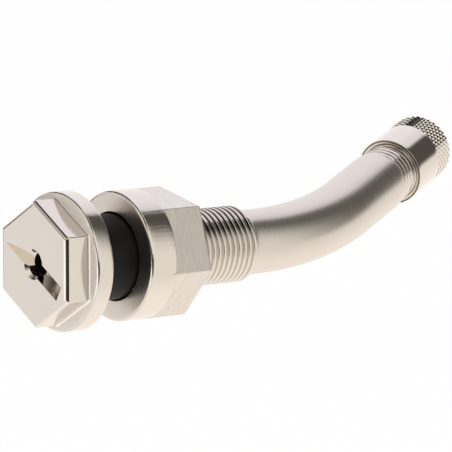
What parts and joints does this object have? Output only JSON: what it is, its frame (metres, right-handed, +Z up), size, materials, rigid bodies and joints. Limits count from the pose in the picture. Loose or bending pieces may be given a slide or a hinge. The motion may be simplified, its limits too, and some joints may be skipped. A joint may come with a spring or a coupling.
{
  "type": "bent clamp-in truck tyre valve",
  "caption": "Nickel-plated bent tyre valve with a slotted hex head, rubber rim seal, collar nut and knurled screw cap over a sprung core.",
  "frame": {"origin": "on the base axis at the rim seat, the rear face of the flange", "axes": "+X along the base axis from the head towards the stem, +Y the way the stem bends, +Z up and square to the plane of the bend"},
  "size_m": [0.0743, 0.0272, 0.017],
  "materials": {
    "nickel": "satin nickel plate over brass",
    "nickel_nut": "nickel plate over turned and milled brass",
    "nickel_cap": "bright nickel plate, knurled at the end",
    "black_rubber": "matt moulded rubber",
    "core_brass": "bare turned brass",
    "red_gasket": "moulded plastic",
    "spring_steel": "drawn wire"
  },
  "bodies": {
    "valve_body": {"stem": "nickel", "seal": "black_rubber", "core_plug": "core_brass", "core_barrel": "core_brass", "core_gasket": "red_gasket", "core_spring": "spring_steel"},
    "rim_nut": {"nut": "nickel_nut"},
    "cap_seal": {"cap_disc": "black_rubber"},
    "screw_cap": {"cap": "nickel_cap"},
    "core_plunger": {"core_pin": "core_brass", "plunger_cup": "core_brass", "seat_washer": "black_rubber"}
  },
  "joints": [
    {"name": "nut_travel", "type": "slide", "parent": "valve_body", "child": "rim_nut", "axis": [1, 0, 0], "range_m": [-0.0007, 0.0094]},
    {"name": "cap_lift", "type": "slide", "parent": "valve_body", "child": "cap_seal", "axis": [0.891, 0.454, 0], "range_m": [0, 0.0095]},
    {"name": "cap_turn", "type": "hinge", "parent": "cap_seal", "child": "screw_cap", "pos_m": [0.06458, 0.01387, 0], "axis": [0.891, 0.454, 0], "range_deg": [0, 4320]},
    {"name": "pin_press", "type": "slide", "parent": "valve_body", "child": "core_plunger", "axis": [-0.891, -0.454, 0], "range_m": [0, 0.0012], "stiffness_N_per_m": 300, "springref_m": -0.003, "deforming": ["core_spring"]}
  ],
  "couplings": [
    {"joint": "cap_turn", "follows": "cap_lift", "rad_per_m": 7915.8}
  ]
}
